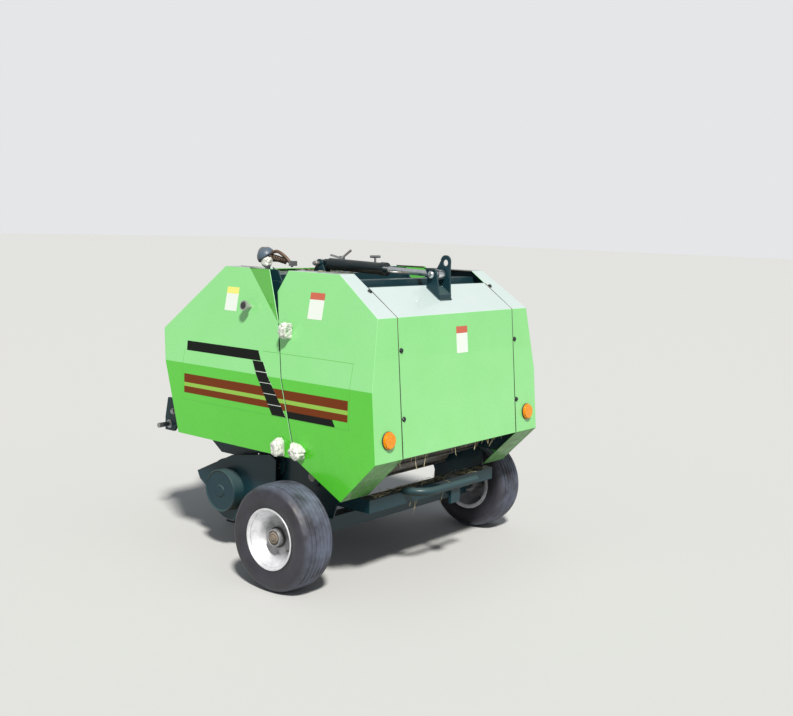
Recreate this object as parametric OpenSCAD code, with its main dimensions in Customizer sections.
// Mini round baler with a chamber of ribbed steel rollers, carried on a tractor's
// three-point linkage and on two ground wheels.
// Millimetres. +X is the direction of travel, +Y the machine's left, z = 0 the ground.
// Inside the modules x is measured from the wheel axle; from_axle() shifts each piece
// so that the middle of the whole machine's length lies at x = 0.

/* [Side covers] */
// Half width over the lower, upright part of the covers
cover_half_w = 535; // [520:1:545]
// Inward lean of the covers above their crease, in degrees
cover_lean = 10.5; // [6:0.5:13]
// Height of the crease in the covers
crease_z = 775; // [700:5:850]
// Height of the covers' top edge
cover_top_z = 1181; // [1170:1:1200]
// Sheet thickness of the covers and panels
sheet_t = 3; // [2:0.5:4]
// Half width of the centre panels, where the covers' wrapped strips end
strip_y = 379; // [360:1:385]
// Gap along the seam between front and rear covers, and beside the centre panels
seam_gap = 6; // [5:1:8]
// Outward bend of the front cover's rear top corner, in degrees
flap_bend = 18; // [10:1:22]

/* [Front cover outline] */
// Lower front corner, forward of the axle
front_low_x = 717; // [700:1:730]
// Lower front corner, height
front_low_z = 478; // [470:1:490]
// Nose, forward of the axle
nose_x = 841; // [830:1:860]
// Nose, height
nose_z = 906; // [890:1:920]
// Front end of the top edge
front_top_x = 517; // [510:1:540]
// Top end of the corner's fold line
fold_top_x = 374; // [365:1:380]

/* [Rear cover outline] */
// Foot of the seam between the covers, forward of the axle
seam_foot_x = 33; // [28:1:40]
// Foot of the seam, height
seam_foot_z = 475; // [470:1:485]
// Front end of the rear cover's top edge
chamfer_top_x = 159; // [150:1:162]
// Rear end of the top edge, behind the axle
rear_top_x = 106; // [95:1:115]
// Upper rear edge, behind the axle
rear_high_x = 319; // [315:1:325]
// Upper rear edge, height
rear_high_z = 1034; // [1020:1:1045]
// Lower rear edge, behind the axle
rear_low_x = 366; // [362:1:372]
// Lower rear edge, height
rear_low_z = 516; // [508:1:524]
// Lowest tip of the rear cover, behind the axle
tip_x = 204; // [195:1:212]
// Lowest tip, height
tip_z = 352; // [345:1:360]
// Upper edge of the centre panel, behind the axle
panel_top_x = 174; // [168:1:185]

/* [Gate] */
// Gate hinge, forward of the axle
hinge_x = 204; // [200:1:208]
// Gate hinge, height
hinge_z = 1094; // [1090:1:1098]
// Radius of the hinge pins
hinge_pin_r = 15; // [12:0.5:17]
// Height of the gate side plates' lower edge
gate_foot_z = 420; // [418:1:428]

/* [Chamber] */
// Inner face of the chamber's side plates
plate_y = 400; // [396:1:404]
// Thickness of the side plates
plate_t = 6; // [5:0.5:8]
// Centre of the roller circle, forward of the axle
chamber_x = 125; // [122:1:128]
// Centre of the roller circle, height
chamber_z = 720; // [717:1:723]
// Radius of the circle on which the rollers sit
chamber_r = 345; // [342:1:347]
// Radius of a roller's tube
roller_r = 66; // [55:1:68]
// Height of the ribs on a roller
rib_h = 6; // [3:0.5:7]
// Ribs round a roller
rib_count = 8; // [5:1:10]
// Radius of the roller shafts
roller_shaft_r = 17.5; // [12:0.5:20]

/* [Wheels] */
// Outer radius of a tyre
tyre_r = 203; // [190:1:210]
// Width of a tyre
tyre_w = 163; // [140:1:163]
// Outer face of a tyre from the centre plane
wheel_face_y = 706; // [706:1:720]
// Radius of a rim's flange
rim_r = 117; // [105:1:120]
// Radius of a spindle in its hub
spindle_r = 17.5; // [12:0.5:20]

/* [Pickup] */
// Reel centre, forward of the axle
reel_x = 496; // [492:1:502]
// Reel centre, height
reel_z = 260; // [255:1:262]
// Radius to the tips of the tines
tine_r = 150; // [142:1:154]
// Outer radius of the stripper bands
band_r = 115; // [108:1:118]
// Number of tine rows across the reel
tine_rows = 12; // [8:1:13]
// Number of tine bars on the reel
tine_bars = 4; // [3:1:5]
// Wire radius of a tine
tine_wire_r = 3; // [2:0.5:4]
// Radius of the round end caps
cap_r = 88; // [75:1:90]
// Outer face of the end caps from the centre plane
cap_face_y = 500; // [480:1:510]

/* [Hitch and drive] */
// Lower hitch pins, forward of the axle
hitch_x = 1045; // [1030:1:1060]
// Lower hitch pins, height
hitch_z = 440; // [430:1:450]
// Radius of a lower hitch pin
lower_pin_r = 11; // [9:0.5:14]
// Distance between the lower pins' shoulders
hitch_w = 636; // [600:2:660]
// Height of the top link pin above the lower pins
mast_h = 460; // [440:1:480]
// Radius of the top link pin
top_pin_r = 9.5; // [8:0.5:12]
// Height of the input shaft
drive_z = 625; // [622:1:628]
// Radius of the input shaft
drive_r = 17.5; // [14:0.5:18]
// Side of the parking legs' square tube
leg_w = 40; // [30:1:44]

/* [Gate cylinder] */
// Pin in the deck bracket, forward of the axle
base_pin_x = 411; // [405:1:418]
// Height of that pin above the deck
base_pin_h = 36; // [34:1:44]
// Rod eye, behind the axle
eye_x = 212; // [208:1:216]
// Rod eye, below the covers' top edge
eye_drop = 3; // [1:1:6]
// Depth of the deck below the covers' top edge
deck_drop = 23; // [20:1:30]
// Outer radius of the barrel
barrel_r = 25; // [20:0.5:26]
// Radius of the rod
rod_r = 12.5; // [9:0.5:14]

/* [Hidden] */
$fn = 48;

// Paint and metal colours
cover_green = "#74d45f";
frame_teal = "#1f3d42";
rim_grey = "#d9dadb";
tyre_grey = "#3a3a3c";
bare_steel = "#9aa0a4";
chrome = "#d8dde0";
barrel_black = "#17191b";
amber = "#f08a1d";

// Clearances
run_fit = 0.05;
seat = 0.3;
slack = 3;
cut = 1;

// Heights that follow the covers' top edge
deck_top = cover_top_z - deck_drop;
base_pin_z = deck_top + base_pin_h;
eye_z = cover_top_z - eye_drop;

// Whole length, from the reflectors to the hitch brackets
bracket_reach = 30;
reflector_z = 596;
reflector_y = 460;
reflector_r = 32.5;
reflector_h = 15;
reflector_step = 4;
face_lean = atan((rear_low_x - rear_high_x) / (rear_high_z - rear_low_z));
reflector_x = rear_low_x - (reflector_z - rear_low_z) * tan(face_lean);
back_reach = reflector_x + reflector_h * cos(face_lean)
    + (reflector_r - reflector_step) * sin(face_lean);
front_reach = hitch_x + bracket_reach;
axle_x = (back_reach - front_reach) / 2;

module from_axle() translate([axle_x, 0, 0]) children();
module on_side(side) if (side > 0) children(); else mirror([0, 1, 0]) children();
module both_sides() for (side = [1, -1]) on_side(side) children();

// A flat outline of [x, z] points as a plate between two y values
module plate(outline, y0, y1)
    translate([0, y1, 0]) rotate([90, 0, 0]) linear_extrude(y1 - y0) polygon(outline);
// A flat outline of [y, z] points as a prism between two x values
module prism(outline, x0, x1)
    translate([x0, 0, 0]) rotate([90, 0, 90]) linear_extrude(x1 - x0) polygon(outline);
// A round rod along y at [x, z]
module rod(at, r, y0, y1)
    translate([at[0], y1, at[1]]) rotate([90, 0, 0]) cylinder(r = r, h = y1 - y0);
// A block by its lowest and highest corners
module block(low, high) translate(low) cube(high - low);
// A square-ended bar between two [x, z] points, w across in y and h high
module bar(a, b, w, h)
    translate([a[0], -w / 2, a[1]])
        rotate([0, -atan2(b[1] - a[1], b[0] - a[0]), 0])
            translate([0, 0, -h / 2]) cube([norm(b - a), w, h]);

// Corners of a counter-clockwise outline after each edge moves inward by its own distance
function left_of(a, b) = [a[1] - b[1], b[0] - a[0]] / norm(b - a);
function moved_in(outline, steps) = let (n = len(outline)) [for (i = [0:n - 1]) let (
    j = (i + n - 1) % n,
    u = left_of(outline[j], outline[i]),
    v = left_of(outline[i], outline[(i + 1) % n]),
    p = u * outline[i] + steps[j],
    q = v * outline[i] + steps[i],
    d = u[0] * v[1] - u[1] * v[0]
) [(p * v[1] - q * u[1]) / d, (u[0] * q - v[0] * p) / d]];
function on_circle(r, a) = [r * cos(a), r * sin(a)];
// Point at height z on the line through a and b
function at_z(a, b, z) = [a[0] + (b[0] - a[0]) * (z - a[1]) / (b[1] - a[1]), z];
function at_x(a, b, x) = [x, a[1] + (b[1] - a[1]) * (x - a[0]) / (b[0] - a[0])];

// Corners of the covers as [x, z]; the seam runs through the gate hinge
hinge = [hinge_x, hinge_z];
seam_foot = [seam_foot_x, seam_foot_z];
front_low = [front_low_x, front_low_z];
nose = [nose_x, nose_z];
front_top = [front_top_x, cover_top_z];
fold_top = [fold_top_x, cover_top_z];
flap_foot = at_z(seam_foot, hinge, 980);
flap_tip = at_z(seam_foot, hinge, cover_top_z);
chamfer_top = [chamfer_top_x, cover_top_z];
rear_top = [-rear_top_x, cover_top_z];
rear_high = [-rear_high_x, rear_high_z];
rear_low = [-rear_low_x, rear_low_z];
tip = [-tip_x, tip_z];
front_outline = [seam_foot, front_low, nose, front_top, fold_top, flap_foot];
rear_outline = [seam_foot, hinge, chamfer_top, rear_top, rear_high, rear_low, tip];
half_gap = seam_gap / 2;
front_edges = moved_in(front_outline, [0, 0, 0, 0, 0, half_gap]);
rear_edges = moved_in(rear_outline, [half_gap, 0, 0, 0, 0, 0, 0]);

// Cross-section of the machine inside the covers, moved in by the sheet's thickness
function side_y(z) = cover_half_w - max(0, z - crease_z) * tan(cover_lean);
module inside_covers(step) {
    lean_step = step / cos(cover_lean);
    high = cover_top_z + 50;
    prism([[0, 0], [cover_half_w - step, 0],
        [cover_half_w - step, crease_z - step * tan(cover_lean / 2)],
        [side_y(high) - lean_step, high], [0, high]], -600, 1200);
}

// A folded sheet cover: its outline's side wall, and strips along the edges marked 1
module cover(outline, walls) {
    inner = moved_in(outline, [for (w = walls) w == 1 ? sheet_t : -20]);
    difference() {
        intersection() {
            plate(outline, strip_y, cover_half_w + cut);
            inside_covers(0);
        }
        intersection() {
            plate(inner, strip_y - cut, cover_half_w + cut);
            inside_covers(sheet_t);
        }
    }
}

// The front cover's top rear corner, bent outward about its fold line
module flap() {
    up = 1 / cos(cover_lean);
    foot = [flap_foot[0], (flap_foot[1] - crease_z) * up];
    top = [fold_top[0], (cover_top_z - crease_z) * up];
    far = [flap_tip[0], (cover_top_z - crease_z) * up];
    along = (top - foot) / norm(top - foot);
    into = [along[1], -along[0]];
    translate([0, cover_half_w, crease_z]) rotate([cover_lean, 0, 0])
        translate([foot[0], -sheet_t, foot[1]])
            rotate(a = -flap_bend, v = [along[0], 0, along[1]])
                translate([-foot[0], 0, -foot[1]])
                    plate([foot + into * 0.8, top + into * 0.8, top, far, foot], 0, sheet_t);
}

module front_cover(side) color(cover_green) from_axle() on_side(side) {
    cover(front_edges, [0, 1, 1, 1, 0, 0]);
    flap();
}
module rear_cover(side) color(cover_green) from_axle() on_side(side)
    cover(rear_edges, [0, 0, 1, 1, 1, 1, 0]);

// Latch handles that hold the covers shut: [x, z]
front_latch_spots = [[340, 1030], [101, 512]];
gate_latch_spots = [[107, 958], [2, 512]];
module latch(at) {
    post_r = 9;
    knob_r = 20;
    reach = 34;
    translate([at[0], side_y(at[1]), at[1]]) rotate([-90, 0, 0]) {
        tilt = at[1] > crease_z ? cover_lean : 0;
        rotate([tilt, 0, 0]) {
            cylinder(r = post_r, h = reach);
            translate([0, 0, reach - 16]) cylinder(r1 = post_r, r2 = knob_r, h = 8);
            translate([0, 0, reach - 8]) cylinder(r = knob_r, h = 12);
        }
    }
}
module latches(spots) color(rim_grey) from_axle() both_sides() for (at = spots)
    difference() {
        latch(at);
        inside_covers(0);
    }

// Roller centres round the chamber; the place left out is the crop's way in
roller_places = 11;
inlet_angle = -37;
roller_step = 360 / roller_places;
front_rollers = [1, 2, 3, 9, 10];
gate_rollers = [4, 5, 6, 7, 8];
function roller_at(i) = [chamber_x, chamber_z] + on_circle(chamber_r, inlet_angle + roller_step * i);
bearing_r = 40;
bearing_h = 12;
roller_end = 8;

module bearings(list) for (i = list)
    rod(roller_at(i), bearing_r, plate_y + plate_t - cut, plate_y + plate_t + bearing_h);
module bearing_bores(list) for (i = list)
    rod(roller_at(i), roller_shaft_r + run_fit, plate_y - cut, plate_y + plate_t + bearing_h + cut);

module roller(i) color(bare_steel) from_axle() {
    half = plate_y - roller_end;
    stub = plate_y + plate_t + bearing_h + 4;
    rib_w = 9;
    rod(roller_at(i), roller_r, -half, half);
    rod(roller_at(i), roller_shaft_r, -stub, stub);
    for (k = [0:rib_count - 1])
        translate([roller_at(i)[0], 0, roller_at(i)[1]]) rotate([0, k * 360 / rib_count, 0])
            block([-rib_w / 2, -half + 10, roller_r - 2], [rib_w / 2, half - 10, roller_r + rib_h]);
}

// Side plate of the front frame, cut back round the gate's hinge ears
ear_r = 34;
plate_gap = 8;
axle_z = tyre_r;
beam_w = 60;
beam_top = axle_z + beam_w / 2;
sill_z = 300;
rear_beam_x = 235;
rear_beam_z = 290;
rear_beam_h = 50;
stub_x = tip_x - 19;
feed_z = 425;
feed_x = 332;
skirt_z = feed_z - 30;
front_inner = moved_in(front_outline, [0, sheet_t + seat, sheet_t + seat, sheet_t + seat, 0, plate_gap]);
module side_plate(side) color(frame_teal) from_axle() on_side(side) {
    outer = plate_y + plate_t;
    bracket_in = outer + slack;
    bracket_out = bracket_in + plate_t + 2;
    bracket_r = 2 * hinge_pin_r;
    notch = ear_r + plate_gap + 4;
    seam_low = at_z(seam_foot, hinge, seam_foot_z - 35);
    difference() {
        union() {
            plate([[-rear_beam_x, rear_beam_z], [-70, rear_beam_z], [-50, beam_top], [50, beam_top],
                [80, sill_z], [feed_x, sill_z], [feed_x, feed_z], [feed_x + 42, feed_z],
                [feed_x + 52, skirt_z], [feed_x + 260, skirt_z], front_inner[1] + [-60, -40],
                front_inner[1], front_inner[2], front_inner[3], [275, front_inner[3][1]],
                [hinge[0] + notch, hinge[1] + 40], [hinge[0] + notch, hinge[1] - 60],
                front_inner[5] + [10, 0], seam_low + [plate_gap, 0],
                [-20, gate_foot_z - plate_gap - 5], [-stub_x, gate_foot_z - plate_gap - 5],
                [-stub_x, rear_beam_z + rear_beam_h], [-rear_beam_x, rear_beam_z + rear_beam_h]],
                plate_y, outer);
            bearings(front_rollers);
            plate([hinge + [notch + 6, -50], hinge + [notch + 64, -50],
                hinge + [notch + 64, 40], hinge + [notch + 6, 40]], outer - cut, bracket_out);
            plate([hinge + [0, -bracket_r], hinge + [notch + 24, -50], hinge + [notch + 24, 40],
                hinge + [0, bracket_r]], bracket_in, bracket_out);
            rod(hinge, bracket_r, bracket_in, bracket_out);
        }
        bearing_bores(front_rollers);
        rod(hinge, ear_r + plate_gap, plate_y - cut, outer + slack / 2);
    }
    rod(hinge, hinge_pin_r, plate_y - 4, bracket_out + 6);
    rod(hinge, hinge_pin_r + 7, plate_y - 9, plate_y - slack);
}

// Side plate of the gate, with its hinge ears
gate_inner = moved_in(rear_outline, [plate_gap, 0, sheet_t + seat, sheet_t + seat,
    sheet_t + seat, sheet_t + seat, 0]);
module gate_plate(side) color(frame_teal) from_axle() on_side(side) {
    outer = plate_y + plate_t;
    foot = at_z(seam_foot, hinge, 470) + [-plate_gap - 5, 0];
    difference() {
        union() {
            intersection() {
                plate([foot, gate_inner[1] + [-4, 0], gate_inner[1] + [-10, 22], [100, gate_inner[3][1]],
                    gate_inner[3], gate_inner[4], gate_inner[5], gate_inner[6],
                    [-60, gate_foot_z]], plate_y, outer);
                block([-500, 0, gate_foot_z], [500, 600, 1400]);
            }
            bearings(gate_rollers);
            rod(hinge, ear_r, plate_y, outer);
        }
        bearing_bores(gate_rollers);
        rod(hinge, hinge_pin_r + run_fit, plate_y - cut, outer + cut);
    }
}

// Cross tubes of the gate and the sloping plate below its top opening
tube_in_y = plate_y;
top_tube_x = 105;
top_tube_z = cover_top_z - 26;
top_tube_w = 60;
top_tube_h = 40;
low_tube_z = rear_low_z + 6;
low_tube_w = 40;
module gate_tubes() color(frame_teal) from_axle() {
    wall = 3;
    low_rear = at_z(gate_inner[4], gate_inner[5], low_tube_z + low_tube_w / 2)[0];
    slope_in = [for (x = [-230, -panel_top_x]) at_x(gate_inner[3], gate_inner[4], x)];
    difference() {
        block([-top_tube_x, -tube_in_y, top_tube_z - top_tube_h],
            [-top_tube_x + top_tube_w, tube_in_y, top_tube_z]);
        block([-top_tube_x + wall, -tube_in_y - cut, top_tube_z - top_tube_h + wall],
            [-top_tube_x + top_tube_w - wall, tube_in_y + cut, top_tube_z - wall]);
    }
    plate([slope_in[0], slope_in[0] + [0, -4], slope_in[1] + [0, -4], [-top_tube_x, slope_in[1][1] - 4],
        [-top_tube_x, slope_in[1][1]], slope_in[1]], -strip_y + half_gap, strip_y - half_gap);
    block([low_rear + wall, -tube_in_y, low_tube_z],
        [low_rear + wall + low_tube_w, tube_in_y, low_tube_z + low_tube_w]);
}

module gate_panel() color(cover_green) from_axle() {
    half = strip_y - seam_gap / 2;
    inner = moved_in(rear_outline, [-20, -20, -20, sheet_t, sheet_t, -20, -20]);
    difference() {
        plate([at_z(rear_high, rear_low, rear_low_z), [-panel_top_x, rear_low_z],
            at_x(rear_top, rear_high, -panel_top_x), rear_high], -half, half);
        plate(inner, -half - cut, half + cut);
    }
}

// Ears for the rod eye and the lifting lug, on one raised base on the sloping panel
ear_gap = 30;
ear_t = 8;
ear_out = ear_gap + ear_t;
ear_back = eye_x + 40;
ear_front = eye_x - 25;
ear_base_h = 20;
lug_x = eye_x + 11;
lug_w = 46;
lug_z = eye_z + 53;
lug_hole_r = 13;
lug_hole_z = lug_z - 7;
function on_slope(x) = at_x(rear_top, rear_high, x) + [0, seat];
module gate_ears() color(frame_teal) from_axle() {
    eye = [-eye_x, eye_z];
    back = on_slope(-ear_back);
    front = on_slope(-ear_front);
    up = [0, ear_base_h];
    low_edge = [back, front, front + up, [front[0], eye_z]];
    plate(concat(low_edge, [eye + [36, 22], eye + [-10, 20], eye + [-18, 12]]), ear_gap, ear_out);
    rod(eye, 13, ear_out - cut, ear_out + 9);
    rod(eye, 13, -ear_out - 9, -ear_out + cut);
    difference() {
        union() {
            plate(concat(low_edge, [eye + [30, 22], [-lug_x + lug_w / 2, lug_z], [-lug_x - lug_w / 2, lug_z],
                [-lug_x - lug_w / 2, eye_z + 8]]), -ear_out, -ear_gap);
            rod([-lug_x, lug_z], lug_w / 2, -ear_out, -ear_gap);
        }
        rod([-lug_x, lug_hole_z], lug_hole_r, -ear_out - cut, -ear_gap + cut);
    }
    plate([back, front, front + up, back + up], -ear_out, ear_out);
}

module reflectors() color(amber) from_axle() both_sides()
    translate([-reflector_x, reflector_y, reflector_z]) rotate([0, -90 + face_lean, 0]) {
        cylinder(r = reflector_r, h = reflector_h - 7);
        cylinder(r = reflector_r - reflector_step, h = reflector_h);
    }

// Deck over the front rollers, between the side plates
deck_back = 275;
deck_front = 500;
module top_deck() color(frame_teal) from_axle() {
    lip = 34;
    low = deck_top - plate_t;
    block([deck_back, -plate_y, low], [deck_front, plate_y, deck_top]);
    block([deck_back, -plate_y, low - lip], [deck_back + plate_t, plate_y, low]);
    block([deck_front - plate_t, -plate_y, low - lip], [deck_front, plate_y, low]);
}
module cylinder_bracket() color(frame_teal) from_axle() {
    base = [base_pin_x, base_pin_z];
    both_sides() {
        plate([[base[0] - 34, deck_top], [base[0] + 34, deck_top], base + [14, 0], base + [-14, 0]],
            base_gap, base_gap + ear_t);
        rod(base, 18, base_gap, base_gap + ear_t);
    }
    rod(base, base_pin_r, -base_gap - ear_t - 5, base_gap + ear_t + 5);
}

// Gate cylinder: barrel with its base eye, and rod with its eye
base_pin_r = 10;
base_gap = 17;
cyl_turn = atan2(base_pin_z - eye_z, base_pin_x + eye_x);
cyl_length = norm([base_pin_x + eye_x, base_pin_z - eye_z]);
barrel_len = 358;
gland = 20;
barrel_low = 42;
bore_low = barrel_low + 10;
eye_half = base_gap - slack;
piston_drop = 95;
module along_cylinder() translate([base_pin_x, 0, base_pin_z]) rotate([0, -90 - cyl_turn, 0]) children();
module cylinder_barrel() color(barrel_black) from_axle() along_cylinder() difference() {
    union() {
        translate([0, 0, barrel_low]) cylinder(r = barrel_r, h = barrel_len - barrel_low);
        translate([0, 0, barrel_len - gland - 6]) cylinder(r = barrel_r + 3, h = gland + 6);
        rotate([90, 0, 0]) translate([0, 0, -eye_half]) cylinder(r = 16, h = 2 * eye_half);
        block([-12, -eye_half, 0], [12, eye_half, barrel_low + 4]);
    }
    translate([0, 0, bore_low]) cylinder(r = barrel_r - 5, h = barrel_len - bore_low - gland);
    translate([0, 0, bore_low]) cylinder(r = rod_r + run_fit, h = barrel_len + cut - bore_low);
    rotate([90, 0, 0]) translate([0, 0, -20]) cylinder(r = base_pin_r + run_fit, h = 40);
}
module cylinder_rod() color(chrome) from_axle() along_cylinder() {
    piston = barrel_len - piston_drop;
    translate([0, 0, piston]) cylinder(r = rod_r, h = cyl_length - piston - 16);
    translate([0, 0, piston]) cylinder(r = barrel_r - 5 - run_fit, h = 22);
    translate([0, 0, cyl_length]) rotate([90, 0, 0]) {
        translate([0, 0, -20]) cylinder(r = 21, h = 40);
        translate([0, 0, -ear_gap + 1.5]) cylinder(r = 12, h = 2 * ear_gap - 3);
    }
}

// Twine box between the side plates, closed by the front panel and the lid
box_floor = 830;
box_back = 560;
box_half = strip_y - 9;
lid_pin = front_top + [3, -16];
lid_room = 5;
lid_foot_z = nose_z - 12;
box_inner = moved_in(front_outline, [0, sheet_t + seat, sheet_t + lid_room, sheet_t + seat, 0, 0]);
function front_slope_z(x) = at_x(box_inner[2], box_inner[3], x)[1];
module twine_box() color(frame_teal) from_axle() {
    wall = 2;
    floor_front = at_z(box_inner[1], box_inner[2], box_floor)[0];
    profile = [[box_back, box_floor], [floor_front, box_floor], box_inner[2],
        [box_back, front_slope_z(box_back)]];
    inner = moved_in(profile, [wall, wall, -20, wall]);
    difference() {
        plate(profile, -box_half, box_half);
        difference() {
            plate(inner, -box_half + wall, box_half - wall);
            block([box_back, -wall / 2, box_floor], [nose_x, wall / 2, box_floor + 150]);
        }
    }
    for (side = [1, -1]) on_side(side)
        block([box_back, box_half - cut, box_floor], [box_back + 40, plate_y, box_floor + 40]);
}
module front_panel() color(cover_green) from_axle() {
    half = strip_y - half_gap;
    inner = moved_in(front_outline, [-20, sheet_t, -20, -20, -20, -20]);
    low = at_z(front_low, nose, box_floor - 20);
    difference() {
        plate([low, at_z(front_low, nose, lid_foot_z), [low[0] - 100, lid_foot_z], [low[0] - 100, low[1]]],
            -half, half);
        plate(inner, -half - cut, half + cut);
    }
}
lid_hinge_spots = [-220, 220];
hinge_leaf = 40;
lid_pin_r = 4;
lid_barrel_r = 8;
module twine_lid() color(cover_green) from_axle() {
    half = strip_y - half_gap;
    inner = moved_in(front_outline, [-20, -20, sheet_t, -20, -20, -20]);
    top = at_x(front_top, nose, front_top_x + 16);
    low = at_x(front_top, nose, nose_x - 4);
    leaf = hinge_leaf / 2;
    difference() {
        union() {
            difference() {
                plate([top, top + [0, -20], low + [0, -20], low], -half, half);
                plate(inner, -half - cut, half + cut);
            }
            for (y = lid_hinge_spots) {
                rod(lid_pin, lid_barrel_r, y - leaf, y + leaf);
                plate([lid_pin + [0, -3], lid_pin + [0, 3], top + [8, -8.5], top + [16, -16.5]],
                    y - leaf, y + leaf);
            }
        }
        for (y = lid_hinge_spots) rod(lid_pin, lid_pin_r + run_fit, y - leaf - cut, y + leaf + cut);
    }
}
module lid_hinges() color(frame_teal) from_axle() for (y = lid_hinge_spots) {
    leaf = hinge_leaf / 2 + 4;
    rod(lid_pin, lid_pin_r, y - leaf - 8, y + leaf + 8);
    for (y0 = [y - leaf - 6, y + leaf]) {
        rod(lid_pin, lid_barrel_r, y0, y0 + 6);
        plate([[deck_front, deck_top - 32], lid_pin + [0, -lid_barrel_r], lid_pin + [0, lid_barrel_r],
            [deck_front, deck_top]], y0, y0 + 6);
    }
}

// Hitch frame: beams between the side plates, the two arms and the lower hitch brackets
arm_out = hitch_w / 2;
arm_w = 48;
arm_z = 500;
bracket_t = 12;
front_beam_x = 660;
high_beam_x = 680;
high_beam_z = 700;
mast_x = hitch_x - 60;
module hitch_frame() color(frame_teal) from_axle() {
    arm_y = arm_out - bracket_t;
    block([front_beam_x, -plate_y, arm_z], [front_beam_x + beam_w, plate_y, arm_z + beam_w]);
    block([high_beam_x, -plate_y, high_beam_z], [high_beam_x + beam_w, plate_y, high_beam_z + beam_w]);
    block([mast_x, -arm_y, arm_z], [mast_x + beam_w, arm_y, arm_z + beam_w]);
    both_sides() {
        block([front_beam_x + beam_w - cut, arm_y - arm_w, arm_z + cut],
            [mast_x + cut, arm_y, arm_z + beam_w - cut]);
        plate([[mast_x - 40, arm_z + beam_w], [mast_x - 40, arm_z], [hitch_x - 30, hitch_z - 30],
            [hitch_x + bracket_reach, hitch_z - 30], [hitch_x + bracket_reach, hitch_z + 30],
            [mast_x + beam_w + 12, arm_z + beam_w]], arm_y - cut, arm_out);
    }
}

// Mast: two slanted legs on the front beam, ears for the top link and braces to the upper beam
top_pin_z = hitch_z + mast_h;
top_pin_x = mast_x + 44;
link_gap = 54;
mast_ear_t = 10;
link_play = 0.25;
module hitch_mast() color(frame_teal) from_axle() {
    leg_t = 40;
    foot_y = 150;
    ear_y = link_gap / 2;
    ear_foot = top_pin_z - 64;
    foot_z = arm_z + beam_w;
    back = mast_x + 10;
    both_sides() {
        prism([[foot_y - leg_t / 2, foot_z], [foot_y + leg_t / 2, foot_z],
            [ear_y + leg_t, ear_foot + 26], [ear_y + 2, ear_foot + 26]], back, back + leg_t);
        difference() {
            plate([[back - 6, ear_foot], [back + leg_t + 4, ear_foot], [top_pin_x + 24, top_pin_z - 12],
                [top_pin_x + 24, top_pin_z + 22], [top_pin_x - 22, top_pin_z + 22]],
                ear_y, ear_y + mast_ear_t);
            rod([top_pin_x, top_pin_z], top_pin_r + link_play, ear_y - cut, ear_y + mast_ear_t + cut);
        }
        plate([[high_beam_x + beam_w, high_beam_z + 6], [back + 4, ear_foot - 14],
            [back + 4, ear_foot + 22], [high_beam_x + beam_w, high_beam_z + 42]],
            ear_y + 6, ear_y + leg_t - 4);
    }
    block([back - 3, -ear_y - 4, ear_foot + 3], [back + 12, ear_y + 4, ear_foot + 42]);
}
module lower_pins() color(bare_steel) from_axle() both_sides() {
    rod([hitch_x, hitch_z], lower_pin_r, arm_out, arm_out + 62);
    rod([hitch_x, hitch_z], lower_pin_r + 8, arm_out, arm_out + 3);
    rod([hitch_x, hitch_z], lower_pin_r + 6, arm_out - bracket_t - 14, arm_out - bracket_t - cut);
}

// Gearbox with its cross-shaft housings, and the shaft that drives it
gear_back = 690;
gear_front = 850;
gear_low = arm_z + beam_w;
gear_half = 96;
flange_r = 48;
cross_x = 715;
cross_r = 30;
module gearbox() color(frame_teal) from_axle() difference() {
    union() {
        block([gear_back, -gear_half + 16, gear_low], [gear_front - 20, gear_half - 16, gear_low + 125]);
        block([front_beam_x, -gear_half + 1, gear_low], [gear_front - 20, gear_half - 1, gear_low + 10]);
        rod([cross_x, drive_z], 60, -gear_half, gear_half);
        translate([gear_front - 21, 0, drive_z]) rotate([0, 90, 0]) cylinder(r = flange_r, h = 21);
    }
    translate([gear_back + 40, 0, drive_z]) rotate([0, 90, 0])
        cylinder(r = drive_r + run_fit, h = 400);
}
module drive_tubes() color(frame_teal) from_axle() both_sides()
    rod([cross_x, drive_z], cross_r, gear_half, plate_y);
module input_shaft() color(bare_steel) from_axle() difference() {
    spline_r = 14.5;
    key_w = 8.6;
    end = gear_front + 100;
    union() {
        translate([gear_back + 44, 0, drive_z]) rotate([0, 90, 0])
            cylinder(r = drive_r, h = gear_front + 14 - gear_back - 44);
        translate([gear_front + 6, 0, drive_z]) rotate([0, 90, 0]) cylinder(r = drive_r + 5, h = 8);
        translate([gear_front, 0, drive_z]) rotate([0, 90, 0])
            cylinder(r = spline_r, h = end - gear_front);
        for (k = [0:5]) translate([gear_front, 0, drive_z]) rotate([k * 60, 0, 0])
            block([0, -key_w / 2, 0], [end - gear_front, key_w / 2, drive_r - 0.1]);
    }
    translate([end - 26, 0, drive_z]) rotate([0, 90, 0]) difference() {
        cylinder(r = drive_r + cut, h = 8);
        cylinder(r = spline_r, h = 8);
    }
}
guard_r = 78;
module pto_guard() color(barrel_black) from_axle() difference() {
    translate([gear_front - 20, 0, drive_z]) rotate([0, 90, 0]) cylinder(r = guard_r, h = 130);
    translate([gear_front - 14, 0, drive_z]) rotate([0, 90, 0]) cylinder(r = guard_r - 3, h = 200);
    block([gear_front - 60, -100, drive_z - 100], [gear_front + 200, 100, drive_z - 20]);
    translate([gear_front - 30, 0, drive_z]) rotate([0, 90, 0]) cylinder(r = flange_r + seat, h = 40);
}

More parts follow.
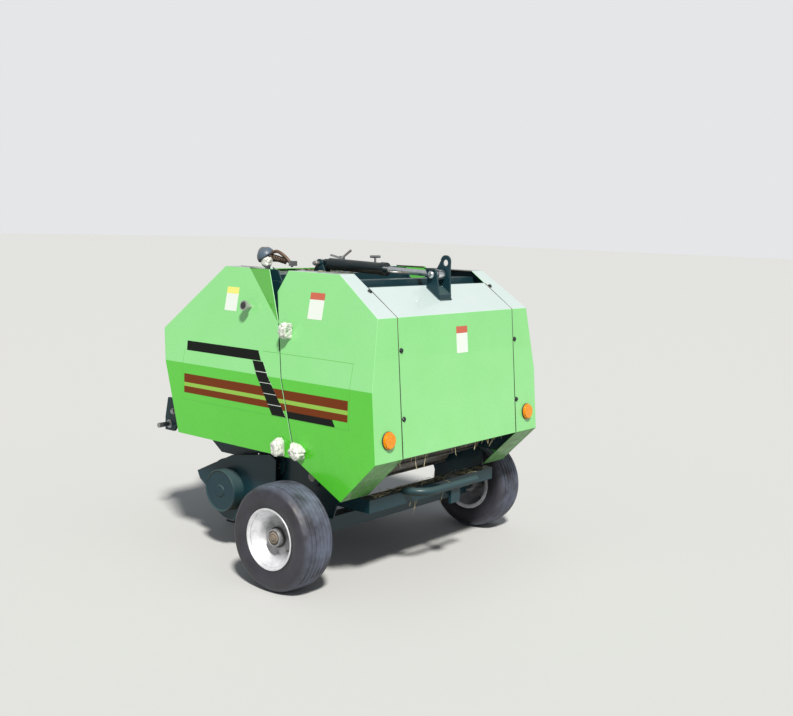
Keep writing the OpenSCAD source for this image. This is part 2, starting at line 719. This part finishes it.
// Parking legs that slide in sleeves on the front beam
sleeve_wall = 5;
leg_slack = 0.5;
leg_x = front_beam_x + beam_w + 56;
leg_y = gear_half + leg_w / 2 + 10;
leg_top = 610;
sleeve_low = arm_z - 30;
sleeve_high = arm_z + 100;
module leg_sleeves() color(frame_teal) from_axle() both_sides() translate([leg_x, leg_y, 0])
    difference() {
        hole = leg_w / 2 + leg_slack;
        wall = hole + sleeve_wall;
        union() {
            block([-wall, -wall, sleeve_low], [wall, wall, sleeve_high]);
            block([front_beam_x + beam_w - leg_x, -wall, arm_z], [-wall + cut, wall, arm_z + beam_w]);
        }
        block([-hole, -hole, sleeve_low - cut], [hole, hole, sleeve_high + cut]);
    }
module leg(side) color(frame_teal) from_axle() on_side(side) translate([leg_x, leg_y, 0]) {
    half = leg_w / 2;
    wall = 4;
    foot_t = 8;
    difference() {
        block([-half, -half, foot_t / 2], [half, half, leg_top]);
        block([-half + wall, -half + wall, foot_t + 2], [half - wall, half - wall, leg_top + cut]);
    }
    block([-half - 30, -half - 20, 0], [half + 30, half + 20, foot_t]);
}

// Axle beam with brackets and spindles
wheel_in_y = wheel_face_y - tyre_w;
dish = 62;
hub_in = wheel_in_y + 18;
hub_out = wheel_face_y - 32;
hub_r = 40;
dish_r = 72;
module axle_beam() color(frame_teal) from_axle() {
    block([-beam_w / 2, -wheel_in_y + 36, axle_z - beam_w / 2], [beam_w / 2, wheel_in_y - 36, beam_top]);
    both_sides() {
        rod([0, axle_z], spindle_r + 10, wheel_in_y - 37, hub_in - 2);
        rod([0, axle_z], spindle_r, hub_in - 3, hub_out - 12);
    }
}
// Wheel profiles are [radius, y] with y from the inner face of the tyre
module turned(profile) translate([0, wheel_in_y, axle_z]) rotate([-90, 0, 0])
    rotate_extrude($fn = 72) polygon(profile);
groove_spots = [0.26, 0.42, 0.58, 0.74];
module tyre(side) color(tyre_grey) from_axle() on_side(side) difference() {
    bead = rim_r - 13;
    shoulder = tyre_w * 0.13;
    wall_r = (tyre_r + rim_r) / 2;
    union() turned([[bead, 14], [rim_r + 4, 9], [wall_r, 0], [tyre_r - 22, 5], [tyre_r - 6, shoulder],
        [tyre_r, tyre_w * 0.3], [tyre_r, tyre_w * 0.7], [tyre_r - 6, tyre_w - shoulder],
        [tyre_r - 22, tyre_w - 5], [wall_r, tyre_w], [rim_r + 4, tyre_w - 9], [bead, tyre_w - 14]]);
    for (s = groove_spots) turned([[tyre_r - 8, tyre_w * s - 3], [tyre_r + 5, tyre_w * s - 4],
        [tyre_r + 5, tyre_w * s + 4], [tyre_r - 8, tyre_w * s + 3]]);
}
module rim(side) color(rim_grey) from_axle() on_side(side) difference() {
    well = rim_r - 13 - seat;
    disc_y = tyre_w - dish;
    union() {
        turned([[well - 4, 9.6], [rim_r, 6], [rim_r, 9.8], [well, 13.8], [well, tyre_w - 13.8],
            [rim_r, tyre_w - 9.8], [rim_r, tyre_w - 6], [rim_r - 5, tyre_w - 5], [dish_r, disc_y],
            [hub_r - 10, disc_y], [hub_r - 10, disc_y - 6], [dish_r + 4, disc_y - 6],
            [well - 4, tyre_w - 34]]);
        turned([[0, hub_in - wheel_in_y], [hub_r, hub_in - wheel_in_y], [hub_r, disc_y + 4],
            [hub_r - 6, disc_y + 6], [hub_r - 6, hub_out - wheel_in_y], [hub_r - 12, hub_out - wheel_in_y],
            [hub_r - 14, hub_out - wheel_in_y - 6], [0, hub_out - wheel_in_y - 6]]);
    }
    rod([0, axle_z], spindle_r + run_fit, hub_in - cut, hub_out - 11);
}

module rear_beam() color(frame_teal) from_axle() {
    block([-rear_beam_x, -plate_y, rear_beam_z], [-rear_beam_x + beam_w, plate_y, rear_beam_z + rear_beam_h]);
    bracket_z = hoop_z - hoop_r;
    block([-hoop_x + 4, -34, bracket_z - 28], [-rear_beam_x, -26, bracket_z]);
    block([-hoop_x + 4, -60, bracket_z - 58], [-hoop_x + 16, 0, bracket_z]);
}
hoop_x = 320;
hoop_z = 344;
hoop_r = 16;
hoop_left = 112;
hoop_right = 160;
module rear_hoop() color(frame_teal) from_axle() {
    bend = hoop_x - rear_beam_x;
    rod([-hoop_x, hoop_z], hoop_r, -hoop_right, hoop_left);
    translate([-hoop_x + bend, hoop_left, hoop_z]) rotate([0, 0, 90])
        rotate_extrude(angle = 90) translate([bend, 0]) circle(r = hoop_r);
}

// Pickup: side plates and beam, stripper bands, end caps and the tined reel
reel = [reel_x, reel_z];
pickup_in = 440;
pickup_t = 6;
pickup_back = 226;
pickup_top = reel_z + 182;
pickup_beam = [feed_x - 42, sill_z - 40];
pickup_shaft_r = 20;
module pickup_frame() color(frame_teal) from_axle() {
    block([pickup_beam[0], -pickup_in - cut, pickup_beam[1]], [pickup_beam[0] + 40, pickup_in + cut, sill_z]);
    both_sides() difference() {
        union() {
            plate([[pickup_back, pickup_beam[1] - 15], reel + [-20, -band_r], reel + [186, 12],
                reel + [203, 44], reel + [123, 82], reel + [-13, 145], [pickup_back + 32, pickup_top],
                [pickup_back, pickup_top - 18]], pickup_in, pickup_in + pickup_t);
            rod(reel, band_r + 14, pickup_in, pickup_in + pickup_t);
        }
        rod(reel, pickup_shaft_r + run_fit, pickup_in - cut, pickup_in + pickup_t + cut);
    }
}
row_pitch = 2 * (plate_y - 26) / 11;
slot_w = 24;
band_t = 3;
band_half = plate_y - 2;
feed_edge = [feed_x + 38, feed_z - 5];
beam_edge = [pickup_beam[0] + 40 + seat, pickup_beam[1] + 4];
// Point where a line from p touches a circle round the reel; s is 1 or -1 for the two sides
function touch(p, r, s) = let (v = p - reel, a = atan2(v[1], v[0]) + s * acos(r / norm(v)))
    reel + on_circle(r, a);
module band_body(r, step) {
    thin = r - band_r;
    rod(reel, r, -band_half - step, band_half + step);
    plate([touch(beam_edge, r, 1), touch(feed_edge, r, -1), feed_edge + [0, thin],
        [beam_edge[0] - step * 60, feed_edge[1] + thin], beam_edge + [-step * 60, -thin]],
        -band_half - step, band_half + step);
}
module pickup_bands() color(frame_teal) from_axle() {
    difference() {
        band_body(band_r, 0);
        band_body(band_r - band_t, 1);
        for (i = [0:tine_rows - 1]) translate([0, (i - (tine_rows - 1) / 2) * row_pitch, 0])
            block([beam_edge[0] + 8, -slot_w / 2, reel_z - band_r - 5],
                [700, slot_w / 2, feed_edge[1] + 10]);
    }
    both_sides()
        block([feed_x + 2, band_half - 30, feed_z - 5], [feed_x + 38, plate_y, feed_z - seat]);
}
module pickup_caps() color(frame_teal) from_axle() both_sides()
    translate([reel_x, pickup_in + pickup_t, reel_z]) rotate([-90, 0, 0])
        rotate_extrude($fn = 72) polygon([[24, 0], [cap_r, 0], [cap_r, cap_face_y - pickup_in - 9],
            [cap_r - 3, cap_face_y - pickup_in - 6], [cap_r - 9, cap_face_y - pickup_in - 10],
            [26, cap_face_y - pickup_in - 10], [22, cap_face_y - pickup_in - 6],
            [0, cap_face_y - pickup_in - 6], [0, 30], [24, 30]]);
bar_circle = 76;
module pickup_reel() color(bare_steel) from_axle() {
    half = plate_y + 22;
    rod(reel, pickup_shaft_r, -pickup_in - 20, pickup_in + 20);
    for (y = [-half, -3, half - 6]) rod(reel, bar_circle + 14, y, y + 6);
    for (b = [0:tine_bars - 1]) translate([reel_x, 0, reel_z]) rotate([0, b * 360 / tine_bars + 20, 0]) {
        rod([0, bar_circle], 9, -half, half);
        for (i = [0:tine_rows - 1])
            translate([0, (i - (tine_rows - 1) / 2) * row_pitch, bar_circle])
                cylinder(r = tine_wire_r, h = tine_r - bar_circle);
    }
}

// Twine guide on the deck: round pulley housing, its post and a bent tension rod
twine_y = 305;
pulley = [455, deck_top + 69];
pulley_r = 34;
guide_foot_t = 6;
module twine_guide() color(bare_steel) from_axle() {
    post_w = 12;
    post_y = [twine_y - 30, twine_y - 18];
    rod_tip = [300, deck_top + 48];
    rod_t = 8;
    block([pulley[0] - 25, post_y[0], deck_top], [pulley[0] + 25, twine_y + 20, deck_top + guide_foot_t]);
    block([pulley[0] - 5, post_y[0], deck_top], [pulley[0] - 5 + post_w, post_y[1], pulley[1]]);
    rod(pulley, pulley_r, post_y[1] - cut, twine_y + 8);
    rod(pulley, pulley_r / 2, post_y[0], twine_y + 16);
    translate([0, post_y[0] + rod_t / 2, 0])
        bar([pulley[0] - 4, pulley[1] - 22], rod_tip, rod_t, rod_t);
    block([rod_tip[0] - 4, post_y[0], rod_tip[1] - 16], [rod_tip[0] + 4, post_y[0] + 40, rod_tip[1] + 4]);
}
// Small hand levers behind the cylinder: a bent flat lever and a T-handle, on their posts
lever_y = -150;
lever_w = 10;
lever_pts = [[505, 66], [440, 54], [385, 92]];
tee = [287, -200];
tee_r = 5;
module deck_levers() color(bare_steel) from_axle() {
    translate([0, lever_y, deck_top]) {
        block([432, -lever_w / 2 + 1, 0], [448, lever_w / 2 - 1, lever_pts[1][1] - 4]);
        bar(lever_pts[0], lever_pts[1], lever_w, 8);
        bar(lever_pts[1], lever_pts[2], lever_w - 3, 8);
        rod(lever_pts[1], 11, -lever_w, lever_w);
    }
    translate([tee[0], tee[1], deck_top]) {
        cylinder(r = tee_r, h = 68);
        cylinder(r = 2 * tee_r, h = 10);
        translate([0, 30, 68]) rotate([90, 0, 0]) cylinder(r = tee_r + cut, h = 60);
    }
}

side_plate(1);  // side_plate_left
side_plate(-1);  // side_plate_right
hitch_frame();
hitch_mast();
lower_pins();
top_deck();
cylinder_bracket();
twine_box();
front_panel();
lid_hinges();
twine_lid();
gearbox();
drive_tubes();
pto_guard();
input_shaft();
leg_sleeves();
leg(1);  // leg_left
leg(-1);  // leg_right
front_cover(1);  // front_cover_left
front_cover(-1);  // front_cover_right
latches(front_latch_spots);  // front_latches
axle_beam();
tyre(1);  // tyre_left
rim(1);  // rim_left
tyre(-1);  // tyre_right
rim(-1);  // rim_right
rear_beam();
rear_hoop();
pickup_frame();
pickup_bands();
pickup_caps();
pickup_reel();
twine_guide();
deck_levers();
gate_plate(1);  // gate_plate_left
gate_plate(-1);  // gate_plate_right
gate_tubes();
gate_panel();
rear_cover(1);  // rear_cover_left
rear_cover(-1);  // rear_cover_right
latches(gate_latch_spots);  // gate_latches
reflectors();
gate_ears();
cylinder_barrel();
cylinder_rod();
roller(1);  // roller_1
roller(2);  // roller_2
roller(3);  // roller_3
roller(4);  // roller_4
roller(5);  // roller_5
roller(6);  // roller_6
roller(7);  // roller_7
roller(8);  // roller_8
roller(9);  // roller_9
roller(10);  // roller_10
